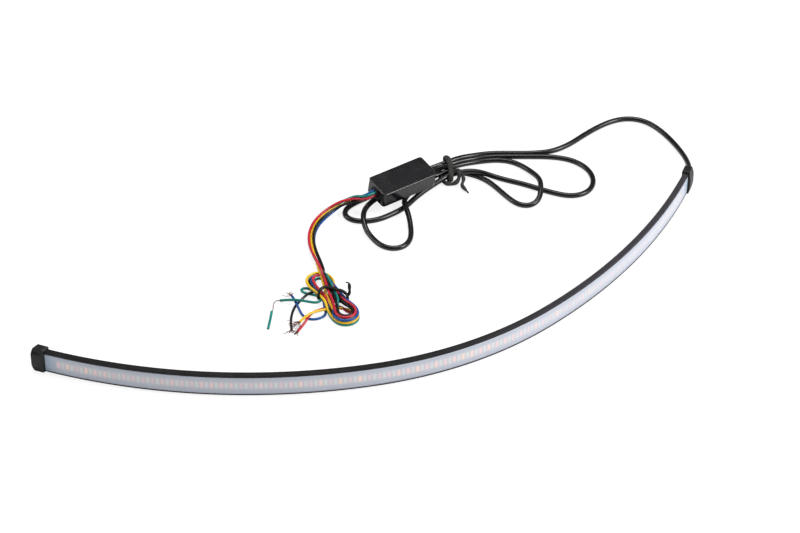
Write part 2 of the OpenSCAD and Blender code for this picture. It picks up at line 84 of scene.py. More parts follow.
# The routes count millimetres from the foot of the curve's foremost point, as the part's source does
partMiddle = np.array([90.6164, 125.4839, 0.0])


# The routes' millimetres to the frame's metres: less the part's middle, over 1000
def fromRoute(points):
    return (np.array(points, float) - partMiddle) / 1000


def alongOf(line):
    return np.concatenate([[0], np.cumsum(np.linalg.norm(np.diff(line, axis=0), axis=1))])


# Points at equal distances along the line, each on the straight between its two neighbours
def evenly(line, spacing):
    along = alongOf(line)
    count = max(2, int(round(along[-1] / spacing)) + 1)
    at = np.linspace(0, along[-1], count)
    return np.stack([np.interp(at, along, line[:, k]) for k in range(line.shape[1])], axis=1)


# A cubic piece between each two points: each point's slope is the mean of its neighbours' slopes,
# weighted by how near they are, so the pieces share a heading where they meet
def smoothLine(points, spacing, finer=4):
    points = np.array(points, float)
    knots = alongOf(points)
    step = np.linalg.norm(np.diff(points, axis=0), axis=1)
    slope = np.diff(points, axis=0) / step[:, None]
    before, after = step[:-1, None], step[1:, None]
    inner = (after * slope[:-1] + before * slope[1:]) / (after + before)
    heading = np.concatenate([slope[:1], inner, slope[-1:]])
    at = np.linspace(0, knots[-1], int(knots[-1] / spacing * finer))
    k = np.clip(np.searchsorted(knots, at, "right") - 1, 0, len(step) - 1)
    h = step[k][:, None]
    t = ((at - knots[k]) / step[k])[:, None]
    line = ((1 + 2 * t) * (1 - t) ** 2 * points[k] + t * (1 - t) ** 2 * h * heading[k]
            + t * t * (3 - 2 * t) * points[k + 1] + t * t * (t - 1) * h * heading[k + 1])
    return evenly(line, spacing)


# Evens out the bends: each point moves to the weighted mean of its stretch of the line, and less
# and less of the way towards both ends, which stay
def relaxed(line, reach, rounds=2):
    step = np.linalg.norm(line[1] - line[0])
    half = max(1, int(round(reach / step)))
    weight = np.hanning(2 * half + 3)[1:-1]
    weight /= weight.sum()
    count = np.arange(len(line))
    fade = np.clip(np.minimum(count, count[::-1]) / (2.0 * half), 0, 1)[:, None]
    for _ in range(rounds):
        before, after = 2 * line[0] - line[half:0:-1], 2 * line[-1] - line[-2:-half - 2:-1]
        padded = np.concatenate([before, line, after])
        mean = np.stack([np.convolve(column, weight, "valid") for column in padded.T], axis=1)
        line = line + fade * (mean - line)
    return line


def lengthOf(line):
    return float(np.linalg.norm(np.diff(line, axis=0), axis=1).sum())


def unit(v):
    return v / np.maximum(np.linalg.norm(v, axis=-1, keepdims=True), 1e-12)


def newPiece(name, points, faces, corners=None, smooth=True):
    mesh = bpy.data.meshes.new(name)
    mesh.from_pydata(np.asarray(points, float).tolist(), [], faces)
    if corners is not None:
        surface = mesh.uv_layers.new(name="surface")
        surface.data.foreach_set("uv", np.asarray(corners, np.float32).ravel())
    if smooth:
        mesh.polygons.foreach_set("use_smooth", [True] * len(mesh.polygons))
    mesh.update()
    piece = bpy.data.objects.new(name, mesh)
    scene.collection.objects.link(piece)
    return piece


# A grid of points, rings by sides, becomes quads whose last side joins the first; ends closes each
# end ring. u and v are the grid's own two measures, kept as the piece's UV map
def gridFaces(rings, sides, u, v, ends=True, offset=0):
    i, j = np.meshgrid(np.arange(rings - 1), np.arange(sides), indexing="ij")
    i, j = i.ravel(), j.ravel()
    k = (j + 1) % sides
    quads = np.stack([i * sides + j, i * sides + k, (i + 1) * sides + k, (i + 1) * sides + j], axis=1)
    corners = np.stack([np.stack([u[a], v[b]], 1) for a, b in
                        [(i, j), (i, j + 1), (i + 1, j + 1), (i + 1, j)]], axis=1).reshape(-1, 2)
    faces = (quads + offset).tolist()
    if ends:
        first, last = np.arange(sides)[::-1], (rings - 1) * sides + np.arange(sides)
        faces += [(first + offset).tolist(), (last + offset).tolist()]
        corners = np.concatenate([corners, np.stack([np.full(sides, u[0]), v[first]], 1),
                                  np.stack([np.full(sides, u[-1]), v[:sides]], 1)])
    return faces, corners


# Two directions square to each heading: one also square to the hint, and one towards the hint
def squareTo(heading, hint=(0, 0, 1)):
    side = unit(np.cross(np.array(hint, float), heading))
    return side, np.cross(heading, side)


# A round tube: each point is the line's, plus the radius times the cosine of its turn along one
# direction square to the line and the sine along the other
def tubePart(line, radius, sides, offset=0, hint=(0, 0, 1)):
    side, top = squareTo(unit(np.gradient(line, axis=0)), hint)
    turn = np.linspace(0, 2 * np.pi, sides, endpoint=False)[None, :, None]
    radius = np.broadcast_to(np.asarray(radius, float), (len(line),))[:, None, None]
    grid = line[:, None] + radius * (np.cos(turn) * side[:, None] + np.sin(turn) * top[:, None])
    faces, corners = gridFaces(len(line), sides, alongOf(line), np.linspace(0, 1, sides + 1), offset=offset)
    return grid.reshape(-1, 3), faces, corners


def tubePiece(name, line, radius, sides):
    return newPiece(name, *tubePart(line, radius, sides))


def joined(name, parts):
    points = np.concatenate([p[0] for p in parts])
    faces = [f for p in parts for f in p[1]]
    corners = np.concatenate([p[2] for p in parts])
    return newPiece(name, points, faces, corners)


# The cable's diameter is in millimetres and its line's measures in metres: fine is the spacing that it is
# smoothed at, reach how far its bends are evened out, and length the cable's length
cable = dict(diameter=4.2, sides=16, fine=0.0003, reach=0.009, spacing=0.0016, length=1.24)
cableRoute = [
    (331.70, 244.15, 10), (334.07, 250.61, 10), (334.6, 260, 8.6), (333.4, 274, 6.4), (330, 289, 4),
    (324, 306, 2.1), (314.5, 322, 2.1), (304, 332.6, 2.1), (292.5, 336, 2.1), (280, 333, 2.1),
    (268, 325, 2.1), (255, 313, 2.1), (241, 299, 2.1), (228, 291, 2.1), (212, 288.5, 2.1), (194, 288.5, 2.1),
    (178, 288, 2.1), (166, 284.3, 2.7), (157, 280.2, 4.1), (148, 273.6, 5.2), (140, 270.2, 3.9),
    (131, 266.5, 2.4), (119, 257.5, 2.1), (107, 248.5, 2.1), (95, 239, 2.1), (83, 229.5, 2.1),
    (72, 221.4, 2.1), (66, 213, 2.1), (67.4, 204.2, 2.1), (75, 199.8, 2.1), (84, 199.6, 2.1),
    (94, 202.5, 2.1), (103, 209, 2.1), (112.5, 217, 2.1), (119.8, 228, 2.5), (128, 237, 3.8),
    (137, 246, 4.3), (148, 255.8, 5.2), (156, 257.4, 6.4), (163, 258.6, 6.9), (171, 258.8, 5.8),
    (180, 257.2, 3.2), (190, 253.6, 2.1), (204, 248, 2.1), (218, 240.8, 2.1), (230, 235.2, 2.1),
    (241, 232, 2.1), (250, 234, 2.1), (256.5, 240, 2.1), (259.5, 249, 2.1), (258.5, 261, 2.1),
    (252, 272.5, 2.1), (242, 280, 2.1), (228, 283.5, 2.1), (212, 284, 2.1), (194, 284, 2.1),
    (178, 283.4, 2.1), (166, 279.9, 2.7), (157, 275.6, 4.1), (148, 269.3, 5.2), (141, 266.4, 4.2),
    (133.5, 262.5, 3), (121.7, 254, 2.1), (109.7, 245, 2.1), (98, 235.7, 2.1), (89, 226.5, 2.7),
    (83.5, 216, 4.2), (81, 205, 6.5), (80.8, 196, 6.4), (83, 187, 3.2), (88, 178.5, 2.1),
    (95.0, 168.6, 2.1), (103.8, 164.8, 2.1), (112.6, 168.2, 2.1), (117.0, 177.6, 2.1), (117.2, 190, 3),
    (115.8, 202, 5.2), (113.2, 212.5, 6.6), (111.7, 218, 6.4), (112, 222, 5.4), (115, 231.5, 4.3),
    (121.5, 241, 4.2), (130, 250, 4.2), (138.5, 257, 4.6), (148, 260.6, 5.2), (156, 261.6, 3.3),
    (163, 260.6, 2.3), (171, 257, 2.1), (179, 249.5, 2.1), (186, 239.5, 2.1), (193.5, 228.5, 2.1),
    (201, 220.4, 2.1), (209.8, 219.2, 2.1), (216.2, 225.2, 3.4), (217.8, 234.5, 5.6), (218.3, 241.5, 6.6),
    (217.3, 250, 5.4), (213.5, 260, 3), (207, 269, 2.1), (199, 276, 2.1), (189, 279.3, 2.1),
    (178, 278.8, 2.1), (166, 275.3, 2.7), (157, 271.1, 4.1), (148, 265.0, 5.2), (145.4, 263.6, 5.8),
    (141, 260.8, 9.8), (135.04, 249.87, 14.68), (131.95, 247.36, 15.93), (129.12, 245.3, 15.99),
]

cableLine = relaxed(smoothLine(fromRoute(cableRoute), cable["fine"]), cable["reach"])
cableLine = evenly(cableLine, cable["spacing"])
cablePiece = tubePiece("lightCable", cableLine, cable["diameter"] / 2000, cable["sides"])
print("cable", round(lengthOf(cableLine), 3))

# The five wires, with the same kinds of measure; ring is how far each lies from the bundle's middle
wires = dict(diameter=2.0, sides=12, fine=0.00025, reach=0.0035, spacing=0.0011, ring=1.88)
# The hank's own measures, along its axis and out to the side of it, in millimetres
hank = dict(
    middle=(58.85, 104.05), axis=(0.4571, -0.8894),   # the axis points to the lower end
    halfSpine=22.2, turnPoints=7,
    entry=[(-24, 4.4, 0.5, 0.6), (-14, 2.6, 0.8, 0.3)],   # along, out, share of the offset, rise
    waist=3, shoulder=6, shoulderSpread=1.05,
    crossAt=14, crossing=1.6, lowAt=12, lowHeight=3.0,
    exitStart=11, exitLimit=18, exitSteps=[(5, 0.6), (1.2, 4.0)], exitOut=-3.0, floorHeight=1.0,
)
bundleLine = [
    (91.91, 218.27, 16.79), (89.08, 216.21, 16.86), (83.25, 212.28, 15.6), (75, 217.5, 10.4),
    (66, 215.6, 8), (57, 211.2, 5), (49.5, 203.5, 3.4), (44.5, 194, 2.98), (42, 183, 2.98),
    (42, 171.5, 2.98), (44, 160, 2.98), (47.5, 148, 2.98), (50.6, 135.6, 2.98),
]
# Where each wire lies in the bundle at each of those points: degrees round it, and how far out
bundlePlaces = {
    "red": ([-34, -34, -10, 35, 90, 125, 145, 152, 157, 157, 150, 130, 108],
            [1, 1, 1, 1, 1.15, 1.2, 1.25, 1.25, 1.2, 1.2, 1.15, 1.1, 1]),
    "green": ([38, 38, 62, 107, 170, 205, 228, 235, 235, 235, 240, 250, 252], [1] * 13),
    "blue": ([110, 110, 134, 180, 240, 285, 315, 328, 330, 330, 328, 326, 324],
             [1, 1, 1, 1, 1.1, 1.2, 1.2, 1.2, 1.2, 1.2, 1.15, 1.05, 1]),
    "yellow": ([182, 182, 206, 250, 330, 405, 450, 462, 465, 468, 490, 525, 540],
               [1, 1, 1, 0.9, 0.6, 0.35, 0.3, 0.3, 0.3, 0.3, 0.4, 0.8, 1]),
    "black": ([254, 254, 278, 325, 360, 385, 398, 404, 405, 405, 400, 397, 396],
              [1, 1, 1, 1, 1.1, 1.2, 1.25, 1.25, 1.25, 1.25, 1.15, 1.05, 1]),
}
# Each wire's way through the hank: (offset, height) where it passes the waist and (radius, height)
# where it turns at an end; the last entry is where it turns under the others to its loose end
hankPlaces = {
    "red": dict(over=(-1.5, 7.2), lowA=(7.6, 6.8), upA=(5.2, 5.2), top=(4.9, 5.7), down=(-5.0, 5.4),
                lowB=(5.8, 2.2), upB=(3.4, 1.2), leave=5.7),
    "black": dict(over=(0.9, 7.2), lowA=(5.3, 6.5), upA=(3.1, 5.0), top=(7.8, 3.1), down=(-6.9, 2.8),
                  lowB=(7.4, 3.3), upB=(3.0, 3.1), leave=-9.0),
    "green": dict(over=(3.0, 7.0), lowA=(6.3, 4.6), upA=(7.2, 3.0), top=(4.0, 3.3), down=(-3.0, 3.1),
                  lowB=(9.6, 1.1), upB=(5.2, 1.1), leave=-6.0),
    "blue": dict(over=(-0.6, 5.2), lowA=(9.3, 5.3), upA=(7.1, 5.0), top=(6.3, 4.4), down=(-5.1, 3.3),
                 lowB=(7.6, 1.2), upB=(7.2, 1.0), leave=-3.0),
    "yellow": dict(over=(-3.4, 5.4), lowA=(7.5, 4.8), upA=(5.1, 3.1), top=(9.6, 4.2), down=(-7.3, 4.8),
                   lowB=(9.4, 3.1), upB=(5.3, 2.9), leave=9.7),
}
tailRoutes = {
    "red": [(52.9, 94.6, 1), (48.6, 92, 1.4), (44.8, 88, 2.6), (41.8, 82.2, 3.3), (39.2, 76.8, 2),
            (36.4, 72.4, 1), (34, 67.6, 1)],
    "black": [(47.6, 112.0, 2.8), (43.2, 110.9, 3.6), (39.2, 108.2, 2.4), (35, 103.4, 1),
              (31.4, 96.6, 1), (29.4, 88.2, 1), (28.8, 79.4, 1), (29.6, 70.2, 1)],
    "yellow": [(54.4, 90.8, 3), (50.8, 88.8, 4), (46.8, 86, 5), (42.2, 82.4, 5.5), (38.4, 79, 4.4),
               (35.4, 76, 3.2)],
    "blue": [(52.0, 106.0, 3.4), (52.4, 100.5, 3.6), (53.2, 95, 2.4), (54.4, 89.6, 1.1), (53.2, 85.4, 1),
             (50.0, 83, 1), (45.6, 81.6, 1), (40.6, 82.6, 1), (37, 86.8, 1),
             (34.4, 92.4, 2.2), (32, 98.8, 3.3), (30.2, 104.8, 2.2), (28.8, 108.8, 1.4)],
    "green": [(50.2, 111.4, 1), (45.0, 115.2, 1), (40.8, 117.9, 1.1), (37.4, 118.6, 1.3),
              (34.9, 116.0, 1.4), (37.2, 112.9, 1.4), (41.6, 111.0, 1.5), (46.0, 109.2, 1.9),
              (49.6, 105.6, 2.6), (50.6, 101.6, 3.2), (48.6, 98.7, 3.4), (45.0, 98.2, 3.7),
              (38.8, 98.6, 4.8), (32.2, 98.8, 5.6), (26.2, 101.6, 3.4), (20.2, 104, 1)],
}


# The bundle's points: out from its middle line by the ring's radius, at each wire's own angle
def bundlePoints(colour):
    middle = np.array(bundleLine, float)
    side, top = squareTo(unit(np.gradient(middle, axis=0)))
    angles, reach = bundlePlaces[colour]
    a, r = np.radians(angles)[:, None], wires["ring"] * np.array(reach, float)[:, None]
    return middle + r * (np.cos(a) * side + np.sin(a) * top)


# From the hank's own measures to the route's: its middle, plus the axis times the distance along
# and the axis turned left times the distance out
def inHank(places):
    places = np.array(places, float)
    ax, ay = hank["axis"]
    x, y = hank["middle"]
    return np.stack([x + places[:, 0] * ax - places[:, 1] * ay,
                     y + places[:, 0] * ay + places[:, 1] * ax, places[:, 2]], axis=1)


# Half a circle round one end of the hank: past the spine's end by the radius times the sine of the
# turn, and out by the radius times its cosine
def halfTurn(end, radius, height):
    turn = np.radians(np.linspace(0, 180, hank["turnPoints"]))
    along = end * (hank["halfSpine"] + radius * np.sin(turn))
    return np.stack([along, -end * radius * np.cos(turn), np.full(len(turn), height)], 1).tolist()


# In over the waist, round the lower end, up, round the top, down, round the lower end again and out
def hankPoints(colour):
    p, k = hankPlaces[colour], hank
    (over, overHeight), (lowOut, lowHeight) = p["over"], p["lowA"]
    (upOut, upHeight), (downOut, downHeight) = p["upA"], p["down"]
    (lastOut, lastHeight), (exitOut, exitHeight), leave = p["lowB"], p["upB"], p["leave"]
    spread = k["shoulderSpread"]
    points = [(along, out + share * over, overHeight + rise) for along, out, share, rise in k["entry"]]
    points += [(-k["waist"], over, overHeight), (k["shoulder"], over - k["crossing"], overHeight),
               (k["crossAt"], (over - k["crossing"] - lowOut) / 2, (overHeight + lowHeight) / 2)]
    points += halfTurn(1, lowOut, lowHeight)
    points += [(k["shoulder"], upOut * spread, upHeight), (-k["waist"], upOut, upHeight)]
    points += halfTurn(-1, *p["top"])
    points += [(-k["shoulder"], downOut * spread, downHeight), (k["waist"], downOut, downHeight),
               (k["lowAt"], -lastOut, max(k["lowHeight"], lastHeight))]
    points += halfTurn(1, lastOut, lastHeight)
    points += [(min(leave + k["exitStart"], k["exitLimit"]), exitOut, exitHeight)]
    points += [(leave + step, exitOut - out, k["floorHeight"]) for step, out in k["exitSteps"]]
    points += [(leave, k["exitOut"], k["floorHeight"])]
    return inHank(points)


# No wire's middle line comes nearer the floor than the wire's radius
def wireLine(colour):
    tail = np.array(tailRoutes[colour], float)
    route = fromRoute(np.concatenate([bundlePoints(colour), hankPoints(colour), tail]))
    line = relaxed(smoothLine(route, wires["fine"]), wires["reach"])
    line[:, 2] = np.maximum(line[:, 2], wires["diameter"] / 2000)
    return evenly(line, wires["spacing"])


wireLines = {colour: wireLine(colour) for colour in hankPlaces}
wirePieces = {colour: tubePiece(colour + "Wire", line, wires["diameter"] / 2000, wires["sides"])
              for colour, line in wireLines.items()}
for colour, line in wireLines.items():
    print(colour, "wire", round(lengthOf(line), 3))

# The strip, in millimetres: apex is how far along it its foremost point is, and reaches are how far
# the first two arcs run from there
strip = dict(
    length=594.0, height=18.0, depth=4.2, foot=1.0, apex=154.0,
    radii=(410.0, 275.0, 435.0), reaches=(91.0, 142.0),
    backWall=0.8, topWall=0.8, bottomWall=1.0, lowLip=0.05, topLip=1.25, lipDepth=0.8,
    round=0.32, lowLipRound=0.1, topLipRound=0.2,
    lampPitch=3.5, lampMargin=17.2, capReach=7.0, ringSpacing=1.5,
)
diffuser = dict(
    gap=0.04, endGap=0.05, lipGap=0.05,    # to the lips, the caps and behind the lips
    setBack=0.12, crown=0.2, flatness=4, frontPoints=15,
    back=1.15, inside=2.2, grooveHalf=4.4,    # the groove over the lamps
)


# The curve is three arcs that share a heading where they meet: the heading grows by length over
# radius along each, and each arc's centre lies on the line from the last centre to the joint
def stripPlace(s, out):
    k = strip
    r1, r2, r3 = k["radii"]
    t1 = k["reaches"][0] / r1
    t2 = t1 + k["reaches"][1] / r2
    c1 = np.array([0.0, r1])
    c2 = c1 + (r1 - r2) * np.array([math.sin(t1), -math.cos(t1)])
    c3 = c2 + (r2 - r3) * np.array([math.sin(t2), -math.cos(t2)])
    along = s - k["apex"]
    turn1, turn2 = k["reaches"][0], k["reaches"][0] + k["reaches"][1]
    heading = np.where(along < turn1, along / r1,
                       np.where(along < turn2, t1 + (along - turn1) / r2, t2 + (along - turn2) / r3))
    radius = np.where(along < turn1, r1, np.where(along < turn2, r2, r3)) + out
    cx = np.where(along < turn1, c1[0], np.where(along < turn2, c2[0], c3[0]))
    cy = np.where(along < turn1, c1[1], np.where(along < turn2, c2[1], c3[1]))
    return cx + radius * np.sin(heading), cy - radius * np.cos(heading)


# A closed section of (depth, height) corners with each corner rounded by its own radius
def roundedSection(corners, steps=4):
    corners = np.array(corners, float)
    points = []
    count = len(corners)
    for k in range(count):
        here, r = corners[k, :2], corners[k, 2]
        before, after = corners[k - 1, :2] - here, corners[(k + 1) % count, :2] - here
        if r <= 0:
            points.append(here)
            continue
        a, b = here + r * before / np.linalg.norm(before), here + r * after / np.linalg.norm(after)
        t = np.linspace(0, 1, steps + 1)[:, None]
        points += list((1 - t) ** 2 * a + 2 * t * (1 - t) * here + t * t * b)
    return np.array(points)


# The section carried along the strip: each of its points keeps its depth out from the back
def sweptStrip(name, section, start, end):
    s = np.linspace(start, end, int((end - start) / strip["ringSpacing"]) + 1)
    x, y = stripPlace(s[:, None], section[None, :, 0])
    z = np.broadcast_to(strip["foot"] + section[:, 1], x.shape)
    grid = fromRoute(np.stack([x, y, z], axis=2).reshape(-1, 3))
    v = np.concatenate([section[:, 1], section[:1, 1]]) / 1000
    faces, corners = gridFaces(len(s), len(section), s / 1000, v)
    return newPiece(name, grid, faces, corners)


# The channel's section: a U that opens to the front, with a lip above and below its opening
def channelSection(k):
    r, lipBack, front, height = k["round"], k["depth"] - k["lipDepth"], k["depth"], k["height"]
    low, high = k["bottomWall"], height - k["topWall"]
    lowLip, topLip = low + k["lowLip"], high - k["topLip"]
    return roundedSection([
        (0, 0, r), (front, 0, r), (front, lowLip, k["lowLipRound"]), (lipBack, lowLip, 0),
        (lipBack, low, 0), (k["backWall"], low, 0), (k["backWall"], high, 0), (lipBack, high, 0),
        (lipBack, topLip, 0), (front, topLip, k["topLipRound"]), (front, height, r), (0, height, r)])


# The frosted face is proud of its edges by a little, as poured silicone is
def diffuserSection(k, d):
    low = k["bottomWall"] + k["lowLip"] + d["gap"]
    high = k["height"] - k["topWall"] - k["topLip"] - d["gap"]
    z = np.linspace(low, high, d["frontPoints"])
    fromMiddle = np.abs(2 * (z - low) / (high - low) - 1)
    proud = k["depth"] - d["setBack"] + d["crown"] * (1 - fromMiddle ** d["flatness"])
    lipBack, middle, half = k["depth"] - k["lipDepth"] - d["lipGap"], k["height"] / 2, d["grooveHalf"]
    top, bottom, back, inside = high + k["topLip"], low - k["lowLip"], d["back"], d["inside"]
    rest = [(lipBack, high), (lipBack, top), (back, top), (back, middle + half), (inside, middle + half),
            (inside, middle - half), (back, middle - half), (back, bottom), (lipBack, bottom),
            (lipBack, low)]
    return np.concatenate([np.stack([proud, z], axis=1), np.array(rest)])


channelPiece = sweptStrip("stripChannel", channelSection(strip), 0, strip["length"])
diffuserPiece = sweptStrip("frostedFace", diffuserSection(strip, diffuser), diffuser["endGap"],
                           strip["length"] - diffuser["endGap"])
print("strip swept")

# How the rigid pieces are softened: join is in metres, flat and angle in degrees, bevels in millimetres
softening = dict(join=2e-6, flat=0.5, angle=32.0, segments=3, weight=90)
cap = dict(bevel=0.4, slope=0.3, about=3.4)
box = dict(bevel=0.25)


# A copy of a CAD node with its loose triangles joined, its edges softened and its curves smooth
def refined(node, name, bevel):
    k = softening
    mesh = frame["nodes"][node].data.copy()
    mesh.name = name
    shape = bmesh.new()
    shape.from_mesh(mesh)
    bmesh.ops.remove_doubles(shape, verts=shape.verts, dist=k["join"])
    bmesh.ops.dissolve_limit(shape, angle_limit=math.radians(k["flat"]), verts=shape.verts,
                             edges=shape.edges)
    shape.to_mesh(mesh)
    shape.free()
    piece = bpy.data.objects.new(name, mesh)
    scene.collection.objects.link(piece)
    mesh.polygons.foreach_set("use_smooth", [True] * len(mesh.polygons))
    edge = piece.modifiers.new("softEdges", "BEVEL")
    edge.width, edge.segments, edge.limit_method = bevel / 1000, k["segments"], "ANGLE"
    edge.angle_limit = math.radians(k["angle"])
    edge.harden_normals = True
    flat = piece.modifiers.new("flatFaces", "WEIGHTED_NORMAL")
    flat.keep_sharp, flat.weight = True, k["weight"]
    return piece


# The left cap sits a little askew: each point moves along the strip by its depth, less the depth
# that stays in place, times the slope
def skewed(piece, s, slope, about):
    mesh = piece.data
    flat = np.empty(len(mesh.vertices) * 3, np.float32)
    mesh.vertices.foreach_get("co", flat)
    points = flat.reshape(-1, 3).astype(float)
    start, ahead = (np.array(stripPlace(np.array([at]), 0)).ravel() for at in (s, s + 1.0))
    along = unit(ahead - start)
    out = np.array([along[1], -along[0]])
    depth = (points[:, :2] * 1000 + partMiddle[:2] - start) @ out
    points[:, :2] -= (slope * (depth - about))[:, None] * along / 1000
    mesh.vertices.foreach_set("co", points.astype(np.float32).ravel())


leftCap = refined("left_end_cap", "leftCap", cap["bevel"])
skewed(leftCap, 0.0, cap["slope"], cap["about"])
rightCap = refined("right_end_cap", "rightCap", cap["bevel"])
boxCover = refined("box_shell", "boxCover", box["bevel"])
print("caps and box")

# The ties' routes, and the measures that both share, in metres
cableTieLoop = [(146.2, 272.6, 9.0), (145.0, 276.4, 7.4), (144.6, 277.6, 4.6), (145.4, 276.0, 1.9),
                (146.5, 268, 1.3), (147, 260, 1.3), (147.6, 253.2, 1.5), (148.2, 250.6, 3.6),
                (148.4, 251.2, 6.8), (148.5, 254.9, 8.9), (148.2, 261.6, 9.3), (147.4, 267.6, 9.5)]
cableTieTurn = [(140.2, 256.2, 1.6), (142.2, 251.8, 2.0), (145.6, 248.8, 1.8), (150.0, 248.2, 1.9),
                (153.4, 249.8, 3.2), (154.9, 251.8, 6.2), (154.2, 254.4, 9.2), (151.0, 257.2, 10.9)]
cableTieTail = [(153.4, 256.4, 9.6), (156.2, 254.2, 8.6), (158.3, 249.9, 5.4), (157.2, 244.6, 3),
                (159.7, 240.8, 1.8), (161.9, 237.4, 1.3)]
wireTieLoop = [(48.6, 104.6, 6.0), (49.6, 106.4, 8.6), (52.6, 109.0, 9.4), (57.8, 108.6, 9.7),
               (62.3, 106.3, 9.5), (66.6, 104.6, 9.3), (69.4, 102.6, 7.8), (70.4, 101.8, 4.6),
               (69.2, 101.6, 1.4), (64, 103, 1.1), (56, 105.4, 1.1), (50.6, 105.4, 1.3),
               (48.3, 104.2, 3.4)]
wireTieTail = [(69.4, 102.6, 6.2), (71.2, 103.2, 8), (71.6, 103.2, 13), (71.5, 103.2, 16.4),
               (70.9, 103.1, 18.4), (68.9, 103, 18.9)]
ties = dict(spacing=0.0006, sides=14, tailFine=0.0004, tailSides=10,
            taperReach=0.004, thinnest=0.45, swell=0.14, swellPitch=0.0012)


# A loop through its points, held closed by running on past its start before it is smoothed
def closedLine(points, spacing, finer=3):
    wrapped = smoothLine(list(points[-3:]) + list(points) + list(points[:4]), spacing / finer)
    half = len(wrapped) // 2
    fromStart = np.linalg.norm(wrapped - points[0], axis=1)
    first, last = int(np.argmin(fromStart[:half])), half + int(np.argmin(fromStart[half:]))
    return evenly(np.concatenate([wrapped[first:last], wrapped[first:first + 1]]), spacing)


# A closed band of oval section: wide is measured towards the hint, thick square to it
def closedTube(line, wide, thick, sides, hint):
    line = line[:-1]
    heading, hint = unit(np.roll(line, -1, 0) - np.roll(line, 1, 0)), np.array(hint, float)
    side = unit(hint - (heading @ hint)[:, None] * heading)
    top = np.cross(heading, side)
    turn = np.linspace(0, 2 * np.pi, sides, endpoint=False)[None, :, None]
    grid = line[:, None] + wide * np.cos(turn) * side[:, None] + thick * np.sin(turn) * top[:, None]
    grid = np.concatenate([grid, grid[:1]])
    u = np.linspace(0, lengthOf(line), len(grid))
    faces, corners = gridFaces(len(grid), sides, u, np.linspace(0, 1, sides + 1), ends=False)
    faces = (np.array(faces) % (len(line) * sides)).tolist()
    return grid[:-1].reshape(-1, 3), faces, corners


# The two ends of a tie twisted together: the radius swells by a sine of the distance along, and
# shrinks towards the end
def twistedTail(route, thickness, hint, offset):
    line = smoothLine(fromRoute(route), ties["tailFine"])
    u = np.linspace(0, lengthOf(line), len(line))
    taper = np.clip((u[-1] - u) / ties["taperReach"], ties["thinnest"], 1)
    radius = thickness / 2000 * taper * (1 + ties["swell"] * np.sin(u / ties["swellPitch"]))
    return tubePart(line, radius, ties["tailSides"], offset, hint)


def tiePiece(name, loop, wide, thick, hint, tails):
    line = closedLine(fromRoute(loop), ties["spacing"])
    parts = [closedTube(line, wide / 2000, thick / 2000, ties["sides"], hint)]
    for route, thickness, tailHint in tails:
        parts.append(twistedTail(route, thickness, tailHint, sum(len(p[0]) for p in parts)))
    return joined(name, parts)


cableTiePiece = tiePiece("cableTie", cableTieLoop, wide=4.3, thick=2.4, hint=(1, 0, 0),
                         tails=[(cableTieTurn, 3.3, (0, 0, 1)), (cableTieTail, 2.8, (0, 0, 1))])
wireTiePiece = tiePiece("wireTie", wireTieLoop, wide=3.0, thick=2.0, hint=(0, 1, 0),
                        tails=[(wireTieTail, 2.3, (0, 1, 0))])
print("ties")

# The bare strand between the green wire and its offcut, and how its lines are wound, in metres
strandRoute = [(20, 104.1, 0.9), (17.8, 104.4, 0.6), (16, 102, 0.6), (15.2, 98, 0.6), (15.2, 94, 0.6),
               (14.6, 91.6, 0.8)]
bound = dict(count=4, fine=0.0005, winding=0.0022, out=0.00017, radius=0.00015, sides=6)
offcut = dict(route=[(14.4, 91, 1), (13.5, 81, 1), (12.4, 71, 1)], fine=0.001, sides=14)
# Each frayed end; length, curl and thin are in millimetres
copper = dict(
    red=dict(length=4.4, strands=22, spread=0.30, curl=0.7, thin=0.14, seed=3),
    black=dict(length=4.6, strands=22, spread=0.50, curl=0.9, thin=0.13, seed=5),
    yellow=dict(length=8.6, strands=18, spread=0.50, curl=2.0, thin=0.15, seed=8),
    blue=dict(length=6.0, strands=12, spread=0.40, curl=1.6, thin=0.15, seed=13),
)
# What all frayed ends share; core, root and floor are in metres, drifts and waves are powers
fray = dict(points=12, sides=5, core=0.62e-3, root=0.001, floor=0.00025, lengths=(0.6, 1.15),
            phases=(0, 6.28), paces=(3, 8), drifts=1.5, waves=1.3, upright=0.6)


# Each strand starts across the wire's end and runs on along it, drifting outwards by its own
# slope and waving by its own curl
def frayed(name, line, k):
    rng = np.random.default_rng(k["seed"])
    end, heading = line[-1], unit(line[-1] - line[-4])
    side, top = squareTo(heading)
    t = np.linspace(0, 1, fray["points"])[:, None]
    parts, offset = [], 0
    for _ in range(k["strands"]):
        a, r = rng.uniform(0, 2 * np.pi), fray["core"] * math.sqrt(rng.uniform())
        long = k["length"] * rng.uniform(*fray["lengths"]) / 1000
        drift = k["spread"] * rng.normal(size=2) * long
        phase, pace = rng.uniform(*fray["phases"], 2), rng.uniform(*fray["paces"], 2)
        wave = k["curl"] / 1000 * t ** fray["waves"] * (np.sin(pace * t + phase) - np.sin(phase))
        shift = t ** fray["drifts"] * drift + wave
        strand = (end + (t * long - fray["root"]) * heading + (r * math.cos(a) + shift[:, :1]) * side
                  + (r * math.sin(a) + fray["upright"] * shift[:, 1:]) * top)
        strand[:, 2] = np.maximum(strand[:, 2], fray["floor"])
        parts.append(tubePart(strand, k["thin"] / 1000, fray["sides"], offset))
        offset += len(parts[-1][0])
    return joined(name, parts)


copperPieces = {colour: frayed(colour + "Copper", wireLines[colour], k) for colour, k in copper.items()}


